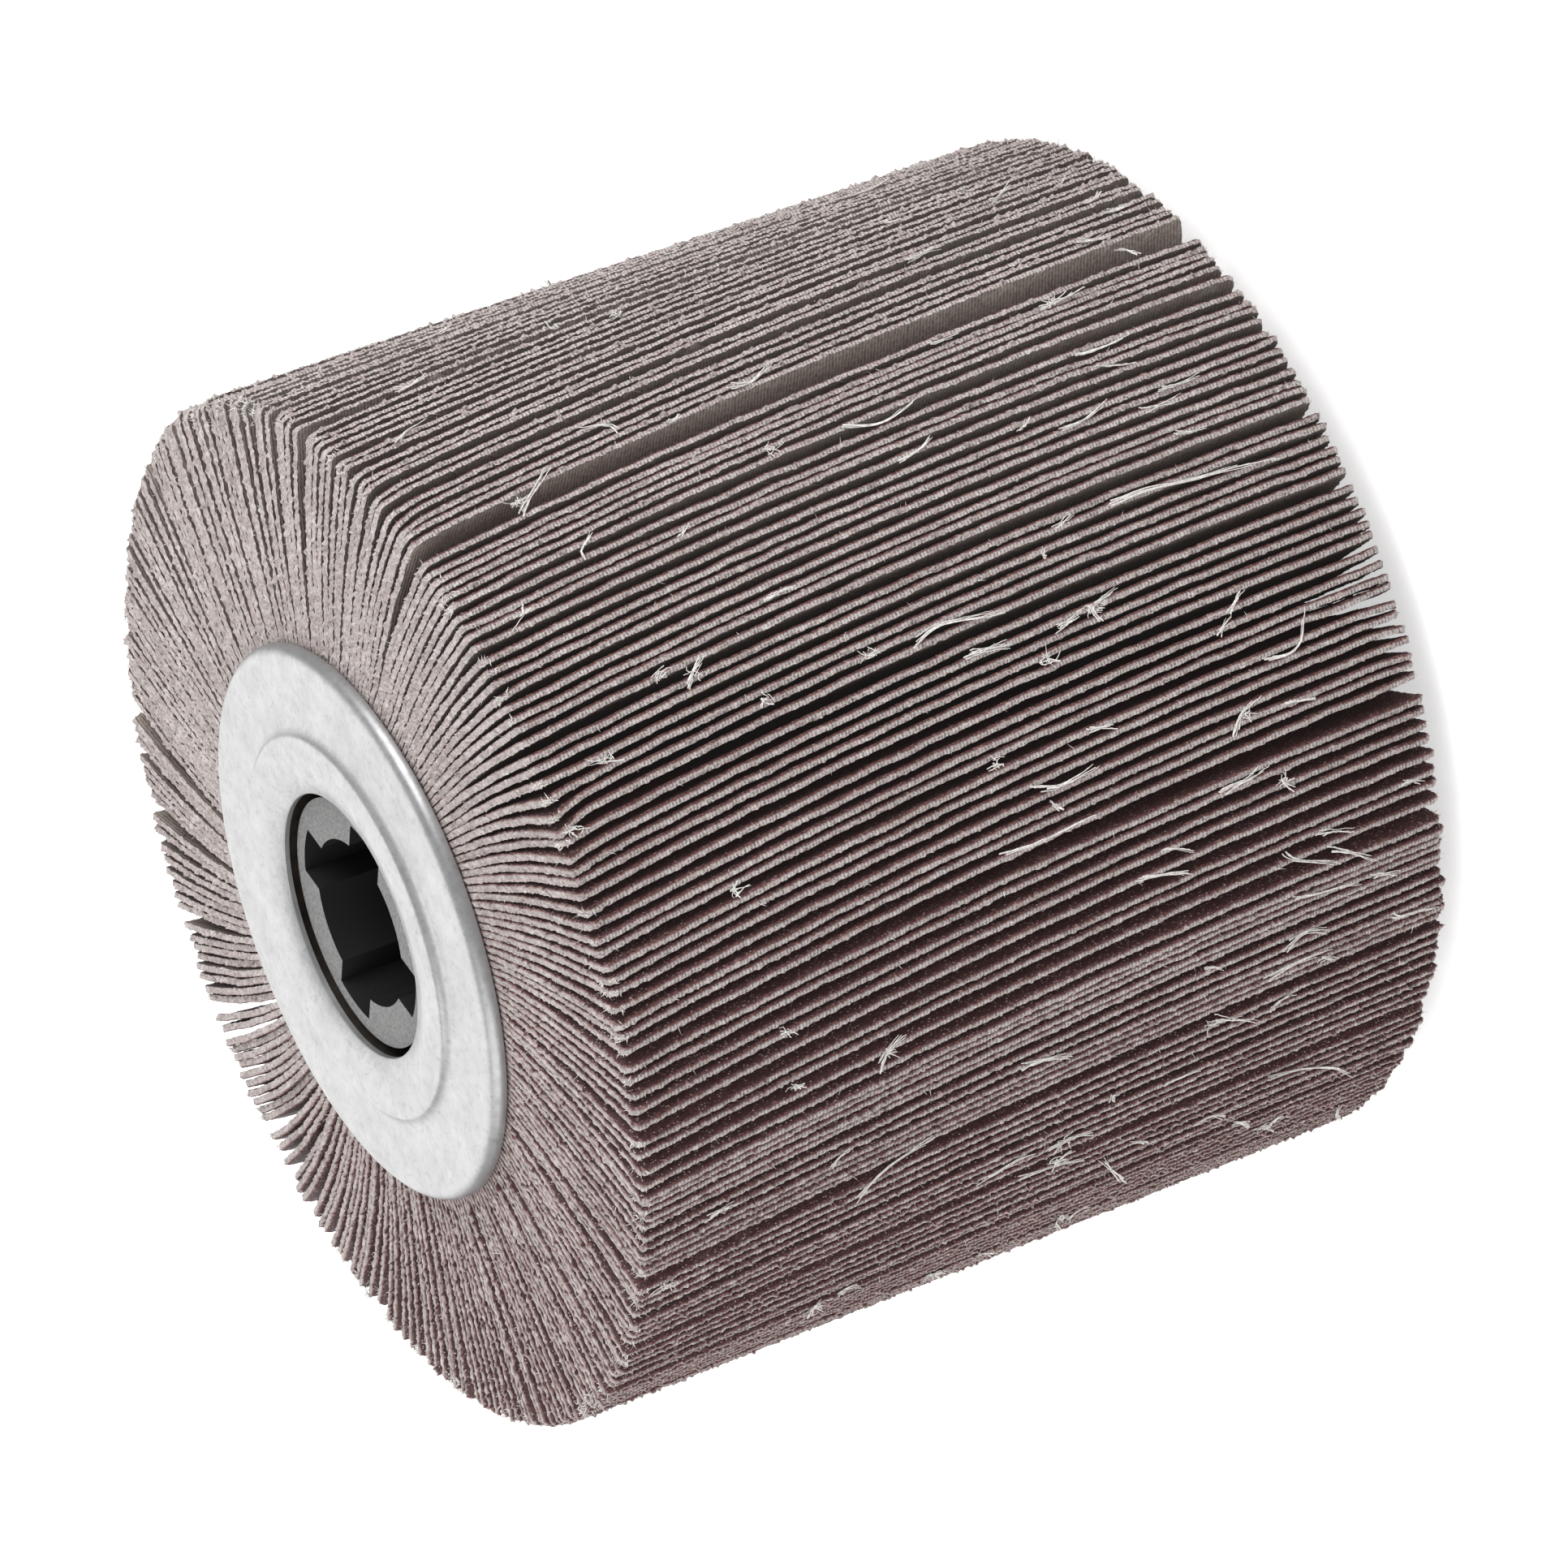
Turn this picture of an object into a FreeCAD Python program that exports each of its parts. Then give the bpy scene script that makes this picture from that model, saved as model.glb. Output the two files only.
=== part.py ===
"""Flap wheel with pressed end flanges and a four-key drive bore.

The wheel stands on its lower flange, axis along +Z, with z = 0 at the flange's resting face.
Flaps of abrasive cloth are bonded by their inner edges round a resin core, and a moulded hub
through the middle carries the bore. The keyways of the bore lie along X and Y.
All lengths are millimetres and all angles are degrees.
"""
import FreeCAD, Part
import math
import os
import random

# Wheel
wheel_diameter = 117.0
flap_width = 101.4

# Flaps: cloth with a grain coat on one side
flap_count = 240
flap_thickness = 0.75
packet_count = 48
root_gap = 0.0225          # room between neighbouring flaps where they are packed tightest
tip_gap = 0.045            # least room between two tips that lean on each other
tip_jitter_share = 0.12    # unevenness of the tips, as a share of their even spacing
parting_reach_angle = 9.0  # how far round the wheel an opening pushes the flaps together
first_root_angle = -180.0

# Lean of the tips against the roots round the wheel: (angle, at the top end, at the bottom end)
lean_marks = (
    (-170, -7.5, 0.0), (-160, -4.6, 2.4), (-150, -5.0, 2.5), (-139, -3.2, 3.8), (-125, -2.2, 5.0),
    (-112, -2.0, 6.0), (-100, -3.0, 4.5), (-89, -3.0, 5.0), (-80, -4.6, 3.4), (-70, -6.6, 1.4),
    (-60, -5.4, 2.6), (-50, -4.8, 2.9), (-38, -4.6, 2.4), (-26, -4.7, 1.8), (-12, -5.6, 0.5),
    (1, -7.0, 1.0), (14, -7.2, 1.8), (24, -8.3, 0.7), (34, -6.8, 1.6), (45, -3.8, 3.4),
    (58, -3.4, 3.4), (70, -6.2, 1.8), (80, -4.2, 2.6), (92, -2.6, 4.0), (103, -5.0, 2.0),
    (113, -8.2, -0.6), (123, -7.2, 0.4), (134, -5.0, 2.0), (150, -5.8, 1.6), (168, -9.0, -1.2),
    (177, -6.8, 0.6),
)

# Places where the tips have parted: (angle, opening at the top end, opening at the bottom end)
partings = (
    (3, 2.2, 3.6), (10.5, 0.6, 0.6), (17.8, 0.6, 0.3), (21.5, 1.0, 0.5), (28.5, 1.0, 0.7),
    (34.5, 0.8, 0.5), (50.5, 0.6, 0.9), (60.5, 1.0, 0.6), (73.5, 1.2, 0.8), (92.5, 0.6, 1.0),
    (115.5, 1.5, 0.6), (120.5, 0.7, 0.9), (126.5, 1.5, 1.2), (137.5, 1.2, 0.8),
    (149.5, 1.5, 0.9), (152.5, 0.9, 0.6), (168.5, 1.2, 1.0), (176.5, 0.9, 1.0), (-178, 0.9, 0.5),
    (-174.5, 0.8, 0.6), (-167, 1.0, 0.8), (-154.5, 0.8, 0.6), (-146.5, 0.7, 0.8),
    (-140, 1.0, 0.8), (-132, 1.0, 0.6), (-124, 0.5, 0.6), (-119.5, 0.6, 2.0), (-110, 1.8, 0.8),
    (-98.5, 1.0, 1.2), (-92, 0.5, 0.4), (-87, 1.2, 0.7), (-69, 0.5, 1.6), (-67, 0.5, 0.5),
    (-65, 1.0, 0.6), (-62.5, 0.5, 0.7), (-60, 0.5, 0.3), (-56.3, 0.9, 1.6), (-40.5, 0.5, 0.5),
    (-32.3, 0.5, 1.0), (-24, 0.3, 0.8), (-6.2, 0.2, 1.0), (-4.5, 0.2, 0.9),
)

# Moulded hub with the drive bore
bore_radius = 9.6
keyway_width = 6.4
keyway_depth = 3.0         # from the wall of the bore to the floor of a keyway
hub_wall = 1.7             # behind the floor of a keyway
hub_above_flaps = 0.75     # end face of the hub above the sides of the flaps

# End flanges, pressed from sheet: a flat ring round a raised middle with a hole in it
flange_sheet = 0.7
hole_clearance = 0.8       # round the hub
flange_grip = 2.2          # how far the rim reaches out over the flaps
rim_clearance = 0.2        # between the rim's edge and the sides of the flaps
rim_skirt = 0.2            # straight part of the rim below its bend
rim_inner_bend = 0.8
dish_width = 3.4           # the middle slopes down to its hole over this width
dish_depth = 0.75
rest_ring_width = 2.9      # flat resting ring along the edge of the raised middle
middle_rise = 0.85         # resting face above the flat ring
step_run = 1.4             # how far the short wall of the step slopes out

# Resin core
bond_line = 0.05           # between the core and what it is cast on
relief_width = 2.3         # the core is cut back round the ends of the hub
relief_depth = 7.0

# Places worked out from the sizes above
keyway_floor_radius = bore_radius + keyway_depth
hub_radius = keyway_floor_radius + hub_wall
hole_radius = hub_radius + hole_clearance
rest_start = hole_radius + dish_width
middle_radius = rest_start + rest_ring_width
relief_radius = hub_radius + relief_width
rim_bend_radius = rim_inner_bend + flange_sheet
ring_height = rim_clearance + rim_skirt + rim_bend_radius
ring_underside = ring_height - flange_sheet
middle_height = ring_height + middle_rise
flap_bottom = middle_height
flap_top = flap_bottom + flap_width
wheel_height = flap_width + 2 * middle_height
wheel_radius = wheel_diameter / 2
root_radius = flap_count * (flap_thickness + root_gap) / (2 * math.pi)
core_radius = root_radius - bond_line
flange_radius = root_radius + flange_grip
even_pitch = 360.0 / flap_count
least_pitch = math.degrees((flap_thickness + tip_gap) / wheel_radius)
Z_AXIS = FreeCAD.Vector(0, 0, 1)


def smooth_between(marks, angle, column):
    """Value at an angle, eased from one mark to the next right round the wheel."""
    angle = (angle + 180.0) % 360.0 - 180.0
    ordered = sorted(marks)
    first = (ordered[0][0] + 360.0,) + ordered[0][1:]
    last = (ordered[-1][0] - 360.0,) + ordered[-1][1:]
    around = [last] + ordered + [first]
    for left, right in zip(around, around[1:]):
        if left[0] <= angle <= right[0]:
            share = (angle - left[0]) / (right[0] - left[0])
            eased = share * share * (3 - 2 * share)
            return left[column] + (right[column] - left[column]) * eased
    return around[0][column]


def turn_between(angle, other):
    """Signed turn from one angle to another, the short way round."""
    return (other - angle + 180.0) % 360.0 - 180.0


def root_angle(index):
    """The roots are packed evenly."""
    return first_root_angle + even_pitch * (index + 0.5)


def tip_pitches(column):
    """Spacing from each tip to the next at one end, wide at the partings and tight beside them."""
    unevenness = random.Random(11)
    jitter = [unevenness.uniform(-1, 1) * tip_jitter_share * even_pitch for _ in range(flap_count)]
    pitches = []
    for index in range(flap_count):
        here = root_angle(index) + even_pitch / 2
        lean_step = smooth_between(lean_marks, here + even_pitch / 2, column)
        lean_step -= smooth_between(lean_marks, here - even_pitch / 2, column)
        pitch = even_pitch + lean_step + jitter[(index + 1) % flap_count] - jitter[index]
        for parting in partings:
            distance = abs(turn_between(parting[0], here))
            if distance < parting_reach_angle:
                closeness = (1 - distance / parting_reach_angle) / parting_reach_angle
                pitch -= parting[column] * closeness * even_pitch
            if -even_pitch / 2 <= turn_between(parting[0], here) < even_pitch / 2:
                pitch += parting[column]
        pitches.append(max(pitch, least_pitch))
    spare = sum(pitch - least_pitch for pitch in pitches)
    share = (360.0 - flap_count * least_pitch) / spare
    return [least_pitch + (pitch - least_pitch) * share for pitch in pitches]


def tip_angles(column):
    """Angle of each tip at one end, set so that the tips lean as the marks say on average."""
    pitches = tip_pitches(column)
    angles = [0.0]
    for pitch in pitches[:-1]:
        angles.append(angles[-1] + pitch)
    wanted = [root_angle(i) + smooth_between(lean_marks, root_angle(i), column)
              for i in range(flap_count)]
    shift = sum(w - a for w, a in zip(wanted, angles)) / flap_count
    return [angle + shift for angle in angles]


def flap_outline(root, tip, height):
    """Corners of a flap across the wheel at one height: root, waist and tip, up one side and back."""
    waist_radius = (root_radius + wheel_radius) / 2
    waist = (root + tip) / 2
    sweep = math.radians(tip - root) / (wheel_radius - root_radius)
    one_side, other_side = [], []
    for radius, angle in ((root_radius, root), (waist_radius, waist), (wheel_radius, tip)):
        slope = radius * sweep
        half = flap_thickness / 2 * math.sqrt(1 + slope * slope)
        out = FreeCAD.Vector(math.cos(math.radians(angle)), math.sin(math.radians(angle)), 0)
        along = Z_AXIS.cross(out)
        centre = out * radius + Z_AXIS * height
        one_side.append(centre + along * half)
        other_side.append(centre - along * half)
    return one_side + other_side[::-1]


def flat_face(corners):
    """Flat face through corners that lie in one plane."""
    return Part.Face(Part.makePolygon(corners + corners[:1]))


def band(lower, upper):
    """Skin between two outlines, creased the same way on both sides so the cloth keeps its gauge."""
    faces = []
    count = len(lower)
    for here in range(count):
        after = (here + 1) % count
        if here < count // 2:
            faces.append(flat_face([lower[here], lower[after], upper[after]]))
            faces.append(flat_face([lower[here], upper[after], upper[here]]))
        else:
            faces.append(flat_face([lower[here], lower[after], upper[here]]))
            faces.append(flat_face([lower[after], upper[after], upper[here]]))
    return faces


def flap(index, top_tips, bottom_tips):
    """One flap: straight-edged cloth, flexed so that its tip runs aslant along the wheel."""
    root = root_angle(index)
    bottom = flap_outline(root, bottom_tips[index], flap_bottom)
    top = flap_outline(root, top_tips[index], flap_top)
    skin = band(bottom, top) + [flat_face(bottom), flat_face(top)]
    return Part.makeSolid(Part.makeShell(skin))


def flap_packets():
    """Neighbouring flaps, in packets that go round the core one after another."""
    top_tips, bottom_tips = tip_angles(1), tip_angles(2)
    packets = []
    for packet in range(packet_count):
        start = packet * flap_count // packet_count
        stop = (packet + 1) * flap_count // packet_count
        flaps = [flap(index, top_tips, bottom_tips) for index in range(start, stop)]
        packets.append(Part.makeCompound(flaps))
    return packets


def turned(points):
    """Solid turned about the wheel's axis from the radii and heights of its section."""
    section = [FreeCAD.Vector(radius, 0, height) for radius, height in points]
    return flat_face(section).revolve(FreeCAD.Vector(0, 0, 0), Z_AXIS, 360)


def rim_bend(radius, facets):
    """Points down a quarter bend of the rim, which starts a bend's radius inside the flange's edge."""
    centre_radius = flange_radius - rim_bend_radius
    centre_height = ring_height - rim_bend_radius
    turns = [math.radians(90.0 * facet / facets) for facet in range(facets + 1)]
    return [(centre_radius + radius * math.sin(turn), centre_height + radius * math.cos(turn))
            for turn in turns]


def flange():
    """Upper flange, above the plane of the flaps' sides at height 0."""
    sheet = flange_sheet
    step_foot = middle_radius + step_run
    hole_edge = middle_height - dish_depth
    outside = [
        (hole_radius, hole_edge),
        (rest_start, middle_height),
        (middle_radius, middle_height),
        (step_foot, ring_height),
    ]
    underside = [
        (step_foot, ring_underside),
        (middle_radius - sheet, middle_height - sheet),
        (rest_start, middle_height - sheet),
        (hole_radius, hole_edge - sheet),
    ]
    rim_edge = [(flange_radius, rim_clearance), (flange_radius - sheet, rim_clearance)]
    outer_bend = rim_bend(rim_bend_radius, 2)
    inner_bend = rim_bend(rim_inner_bend, 1)[::-1]
    return turned(outside + outer_bend + rim_edge + inner_bend + underside)


def end_flanges():
    """The same pressing at both ends, facing outwards."""
    upper = flange()
    upper.translate(Z_AXIS * flap_top)
    lower = upper.mirror(FreeCAD.Vector(0, 0, wheel_height / 2), Z_AXIS)
    return upper, lower


def drive_hub():
    """Moulded tube with four keyways along its whole bore."""
    length = flap_width + 2 * hub_above_flaps
    bottom = FreeCAD.Vector(0, 0, flap_bottom - hub_above_flaps)
    tube = Part.makeCylinder(hub_radius, length, bottom)
    bore = Part.makeCylinder(bore_radius, length, bottom)
    floor = Part.makeCylinder(keyway_floor_radius, length, bottom)
    reach = 2 * keyway_floor_radius
    across = Part.makeBox(reach, keyway_width, length)
    across.translate(bottom - FreeCAD.Vector(reach / 2, keyway_width / 2, 0))
    along = Part.makeBox(keyway_width, reach, length)
    along.translate(bottom - FreeCAD.Vector(keyway_width / 2, reach / 2, 0))
    keyways = across.fuse(along).common(floor)
    return tube.cut(bore.fuse(keyways)).removeSplitter()


def resin_core():
    """Cast ring between the hub and the flap roots, cut back round the hub's ends."""
    length = flap_width + 2 * ring_underside
    bottom = FreeCAD.Vector(0, 0, flap_bottom - ring_underside)
    ring = Part.makeCylinder(core_radius, length, bottom)
    bore = Part.makeCylinder(hub_radius + bond_line, length, bottom)
    relief = Part.makeCylinder(relief_radius, relief_depth, bottom)
    upper_relief = Part.makeCylinder(relief_radius, relief_depth,
                                     bottom + Z_AXIS * (length - relief_depth))
    return ring.cut(bore.fuse(relief).fuse(upper_relief))


def main():
    os.makedirs("parts", exist_ok=True)
    upper, lower = end_flanges()
    pieces = {
        "drive_hub": drive_hub(),
        "resin_core": resin_core(),
        "upper_flange": upper,
        "lower_flange": lower,
    }
    for number, packet in enumerate(flap_packets(), start=1):
        pieces[f"flap_packet_{number:02d}"] = packet
    for name, shape in pieces.items():
        shape.exportStep(f"parts/{name}.step")


main()
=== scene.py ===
"""Looks of the flap wheel: frayed cloth flaps, pressed flanges, moulded hub, loose threads.

Lengths are in metres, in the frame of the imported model: axis along +Z, z = 0 under the lower flange.
"""
import math

import bpy
import numpy as np
from mathutils import Matrix, Vector

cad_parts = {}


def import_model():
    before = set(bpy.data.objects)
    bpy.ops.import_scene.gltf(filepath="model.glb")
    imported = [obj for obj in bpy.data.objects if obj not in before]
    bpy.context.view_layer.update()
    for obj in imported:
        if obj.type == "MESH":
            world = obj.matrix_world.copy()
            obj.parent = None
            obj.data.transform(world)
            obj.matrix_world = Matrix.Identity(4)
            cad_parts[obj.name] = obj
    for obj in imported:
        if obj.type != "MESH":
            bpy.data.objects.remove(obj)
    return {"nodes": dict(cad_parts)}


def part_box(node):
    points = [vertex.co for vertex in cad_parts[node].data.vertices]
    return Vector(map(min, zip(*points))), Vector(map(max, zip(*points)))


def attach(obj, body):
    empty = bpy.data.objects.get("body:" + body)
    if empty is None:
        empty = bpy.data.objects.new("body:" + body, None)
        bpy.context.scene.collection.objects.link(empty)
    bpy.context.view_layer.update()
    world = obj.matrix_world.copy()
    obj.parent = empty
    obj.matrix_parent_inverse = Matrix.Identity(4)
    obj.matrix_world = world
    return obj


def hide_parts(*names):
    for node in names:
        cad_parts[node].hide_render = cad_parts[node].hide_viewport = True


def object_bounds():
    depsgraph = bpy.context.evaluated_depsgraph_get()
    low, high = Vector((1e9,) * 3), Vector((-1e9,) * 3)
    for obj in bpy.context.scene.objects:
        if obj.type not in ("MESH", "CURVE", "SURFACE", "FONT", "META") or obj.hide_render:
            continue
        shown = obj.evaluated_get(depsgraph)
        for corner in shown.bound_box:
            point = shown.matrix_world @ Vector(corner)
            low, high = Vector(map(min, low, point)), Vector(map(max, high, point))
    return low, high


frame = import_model()
cad_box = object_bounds()
MM = 0.001

# The wheel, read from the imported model
packets = sorted(name for name in frame["nodes"] if name.startswith("flap_packet_"))
flap_bottom, flap_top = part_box(packets[0])[0].z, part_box(packets[0])[1].z
wheel_radius, wheel_height = cad_box[1].x, cad_box[1].z
flange_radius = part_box("upper_flange")[1].x

# Flaps: cloth with a grain coat on the side that faces increasing angles
flap_thickness = 0.75 * MM
grain_coat = 0.40 * MM         # as it shows at the tips; the fluff hides much of it at the sides
border_depth = 1.8 * MM        # the frayed border, outside the plain middle of a flap
taper = 0.7 * MM               # each side is this much lower at the tip than at the flange
corner_radius = 0.9 * MM
tip_steps = 288                # fine steps along the tip
side_steps = 80                # fine steps along each side
corner_steps = 5
middle_steps = (5, 20)         # coarse steps of the middle, outwards and along the wheel
tip_bow = 1.5                  # degrees that the tips bow sideways between the wheel's ends
tip_spread = 0.12 * MM         # by which the tips of the flaps differ in reach
side_spread = 0.14 * MM        # the same for their sides, outside the flange

# Frayed border: three rows of points, the crest and the set-back rims of the grain and the cloth
thread_pitch = 0.42 * MM       # between the threads that show at a cut edge
grain_set_back = 0.22 * MM
cloth_set_back = 0.14 * MM
thread_end_share = 0.10        # of the crest's points, which stand out as thread ends
thread_end_length = (0.1, 0.36)               # shortest and longest, in millimetres
side_flare = 0.025 * MM        # by which the sides splay outside the flange
strand_length = 0.75 * MM      # of the wavy strands along the sides
strands_across = 2.5           # from the cloth side to the grain side
fibres_per_flap = 44
tuft_sizes = (0, 14, 34)       # fibres at an upper corner
tuft_odds = (0.5, 0.32, 0.18)

# Painted shade between two flaps, put into the colours of the cloth back and the grain coat
narrow_gap, wide_gap = 0.5 * MM, 2.6 * MM     # gaps between tips that are darkest and lightest inside
dark_depth, light_depth = 9 * MM, 1.5 * MM    # below the tips
light_at_depth = 0.25          # share of the colour that the painted shade leaves at the dark depth
painted_glow_strength = 0.007         # painted glow: emission that stands in for light scattering out of the deep gaps, past the few bounces of a render

# How far the upper corners are bent sideways, as (root angle in degrees, degrees)
upper_curl_marks = ((-38, 0.0), (-32, -1.4), (-27, 0.0), (2, 0.0), (8, -1.3), (14, -1.1), (20, 0.0))
curl_reach = 6 * MM
curl_spread = 0.18             # degrees by which the corners of all flaps differ

# Loose threads, each as marks on its path: tenths of a millimetre from the upper ends of the tips,
# and sixteenths of a degree round from the starting angle
thread_start_low = -123.75
threads_low = (
    ((505, 95), (480, 140), (460, 150)), ((430, 108), (415, 135), (398, 152)),
    ((590, 90), (570, 150), (565, 215)), ((585, 150), (605, 190)), ((960, 80), (945, 130), (930, 200)),
    ((245, 195), (250, 265)), ((270, 250), (300, 265)), ((840, 212), (800, 260)),
    ((828, 240), (840, 265)), ((790, 295), (760, 325)), ((632, 262), (612, 310), (582, 388)),
    ((918, 335), (890, 380), (835, 425), (792, 442)), ((645, 378), (618, 402)),
    ((745, 365), (730, 380), (700, 380)), ((470, 440), (500, 425), (555, 420)), ((515, 418), (540, 455)),
    ((415, 475), (440, 470), (485, 500)), ((505, 480), (530, 490), (560, 484)),
    ((640, 540), (665, 536), (690, 545)), ((580, 545), (582, 570)), ((260, 560), (290, 595), (350, 635)),
    ((75, 645), (110, 655)), ((225, 652), (248, 677)), ((700, 652), (730, 628), (755, 615)),
    ((775, 622), (808, 640)), ((460, 708), (490, 702), (520, 693)), ((757, 700), (790, 700), (850, 708)),
    ((835, 695), (858, 680)), ((925, 735), (935, 715), (985, 710)), ((790, 750), (820, 760), (845, 752)),
    ((690, 765), (710, 755)), ((805, 838), (830, 825), (890, 818)), ((905, 820), (935, 808)),
    ((285, 812), (300, 840), (320, 865)), ((795, 925), (805, 905), (860, 868)), ((852, 905), (910, 852)),
    ((840, 938), (888, 918)), ((955, 970), (978, 960)), ((615, 975), (650, 965), (680, 952)),
    ((650, 1012), (688, 992)), ((735, 1068), (770, 1070), (788, 1085)),
    ((460, 1098), (510, 1092), (555, 1100), (605, 1105)), ((545, 1138), (535, 1155)),
    ((515, 1185), (550, 1170), (590, 1180), (600, 1188)), ((765, 1150), (780, 1180), (802, 1195)),
    ((830, 1172), (870, 1160)), ((600, 1243), (632, 1235)),
    ((820, 1250), (860, 1243), (875, 1260), (885, 1310)), ((780, 1315), (800, 1335)),
)
thread_start_high = -40.0
threads_high = (
    ((800, 0), (825, 30)), ((495, 82), (525, 82), (553, 75)), ((605, 72), (640, 85)),
    ((655, 65), (650, 90), (690, 105)), ((445, 128), (475, 148), (500, 145), (555, 130)),
    ((190, 185), (205, 210), (225, 235)), ((625, 190), (628, 205)), ((650, 230), (675, 245)),
    ((720, 242), (780, 248), (800, 235), (870, 232), (925, 222)), ((315, 283), (340, 290), (355, 287)),
    ((830, 318), (865, 308)), ((805, 375), (855, 375)), ((840, 400), (890, 400)),
    ((710, 390), (745, 395), (778, 412)), ((672, 412), (690, 430)), ((530, 435), (560, 445), (580, 462)),
    ((265, 435), (280, 452)), ((158, 450), (160, 475), (180, 493)), ((790, 485), (810, 475), (835, 465)),
    ((780, 513), (840, 515)), ((495, 535), (520, 520), (545, 515), (590, 540)),
    ((120, 568), (140, 600), (180, 645)), ((120, 600), (145, 610)), ((640, 638), (680, 640)),
    ((780, 630), (840, 645)), ((330, 660), (350, 668)), ((275, 672), (278, 700), (262, 712), (238, 708)),
    ((415, 685), (440, 685), (478, 712)), ((925, 675), (915, 700), (905, 705)),
    ((875, 755), (905, 745), (912, 740)), ((935, 800), (965, 805)), ((65, 830), (90, 860), (110, 860)),
    ((700, 855), (735, 868), (745, 862)), ((920, 845), (950, 860)), ((915, 925), (935, 940)),
    ((840, 940), (860, 965), (885, 990)), ((120, 985), (150, 1000), (165, 1005)),
    ((730, 1005), (750, 1000)), ((325, 1020), (320, 1040)), ((905, 1040), (930, 1048)),
)
tufts_low = (
    (420, 130), (575, 180), (250, 230), (820, 245), (520, 435), (525, 488), (300, 838), (190, 838),
    (185, 940), (812, 1045), (785, 1175), (165, 1198), (486, 1243), (30, 520), (700, 640),
)
tufts_high = (
    (582, 30), (655, 85), (80, 124), (270, 129), (205, 208), (172, 225), (70, 403), (408, 538),
    (130, 600), (800, 640), (393, 998), (400, 140), (15, 40),
)

mark_shape = 0.64              # how long a mark's angle step is at the tips, in its length steps

# Loose threads on the side that the photograph doesn't show, strewn at random from this angle on
strewn_threads = 60
strewn_start = 35.0

# Flange, above the plane of the flaps' sides
flange_sheet = 0.7 * MM
hole_radius = 15.1 * MM
dish_width = 3.4 * MM
dish_depth = 0.75 * MM
rest_ring_width = 2.9 * MM
middle_rise = 0.85 * MM
rim_clearance = 0.2 * MM
rim_bend_radius = 1.5 * MM
ring_height = 1.9 * MM

# Camera, matched to the photograph
view_azimuth = -39.0           # degrees round from +X
view_elevation = 23.786
view_roll = -110.084
view_distance = 0.89256
view_offset = (0.0015747, -0.0011584)
lens = 185.45                  # on a 36 mm sensor

# Even light from all round, and what of it shows in glossy surfaces
ambient, glossy_ambient = 0.66, 0.38
floor_grey, floor_lift = 0.93, 0.55


def rng(seed):
    return np.random.RandomState(seed)


def to_world(radius, angle, height):
    """Points from radius, angle in radians and height."""
    return np.stack([radius * np.cos(angle), radius * np.sin(angle), height], axis=-1)


# Materials
def new_material(name, roughness=0.9, metallic=0.0, specular=0.3):
    """New material, with its node tree and its Principled shader."""
    material = bpy.data.materials.new(name)
    material.use_nodes = True
    tree = material.node_tree
    shader = tree.nodes["Principled BSDF"]
    shader.inputs["Roughness"].default_value = roughness
    shader.inputs["Metallic"].default_value = metallic
    shader.inputs["Specular IOR Level"].default_value = specular
    return material, tree, shader


def add_node(tree, kind, inputs=None, **settings):
    """Node of a kind, with its inputs set to values or linked to sockets."""
    node = tree.nodes.new(kind)
    for key, value in settings.items():
        setattr(node, key, value)
    for key, value in (inputs or {}).items():
        if isinstance(value, bpy.types.NodeSocket):
            tree.links.new(value, node.inputs[key])
        else:
            node.inputs[key].default_value = value
    return node


def place(tree):
    return add_node(tree, "ShaderNodeTexCoord").outputs["Object"]


def weighted(tree, first, first_share, second, second_share):
    """Sum of two values, each times its share."""
    return math_node(tree, "ADD", math_node(tree, "MULTIPLY", first, first_share),
                     math_node(tree, "MULTIPLY", second, second_share))


def attribute(tree, name):
    return add_node(tree, "ShaderNodeAttribute", attribute_name=name).outputs["Fac"]


def levelness(tree):
    """1 where the surface faces straight up or down, 0 where it faces sideways."""
    normal = add_node(tree, "ShaderNodeNewGeometry").outputs["Normal"]
    split = add_node(tree, "ShaderNodeSeparateXYZ", {"Vector": normal})
    return math_node(tree, "ABSOLUTE", split.outputs["Z"])


def axis_distance(tree):
    """Distance from the wheel's axis."""
    spread = {0: place(tree), 1: (1, 1, 0)}
    flat = add_node(tree, "ShaderNodeVectorMath", spread, operation="MULTIPLY").outputs[0]
    return add_node(tree, "ShaderNodeVectorMath", {0: flat}, operation="LENGTH").outputs["Value"]


def noise(tree, size, detail=3.0, roughness=0.6, vector=None, distortion=0.0):
    """Cloudy values with features of a size, in metres or in the vector's own units."""
    inputs = {"Vector": vector or place(tree), "Scale": 1 / size, "Detail": detail,
              "Roughness": roughness, "Distortion": distortion}
    return add_node(tree, "ShaderNodeTexNoise", inputs).outputs["Fac"]


def ramp(tree, value, stops):
    """Colours or greys along a value. Each stop is (place, colour)."""
    node = add_node(tree, "ShaderNodeValToRGB", {"Fac": value})
    elements = node.color_ramp.elements
    while len(elements) < len(stops):
        elements.new(0.5)
    for element, (position, colour) in zip(elements, stops):
        element.position = position
        element.color = (*colour, 1) if len(colour) == 3 else (colour[0],) * 3 + (1,)
    return node.outputs["Color"]


def mix(tree, factor, first, second, blend="MIX"):
    """Mix of two colours, each a socket or a colour."""
    node = add_node(tree, "ShaderNodeMix", data_type="RGBA", blend_type=blend)
    for socket, value in ((node.inputs[0], factor), (node.inputs[6], first), (node.inputs[7], second)):
        if isinstance(value, bpy.types.NodeSocket):
            tree.links.new(value, socket)
        else:
            socket.default_value = value if isinstance(value, float) else (*value, 1)
    return node.outputs[2]


def math_node(tree, operation, first, second=0.0):
    return add_node(tree, "ShaderNodeMath", {0: first, 1: second}, operation=operation).outputs[0]


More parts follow.
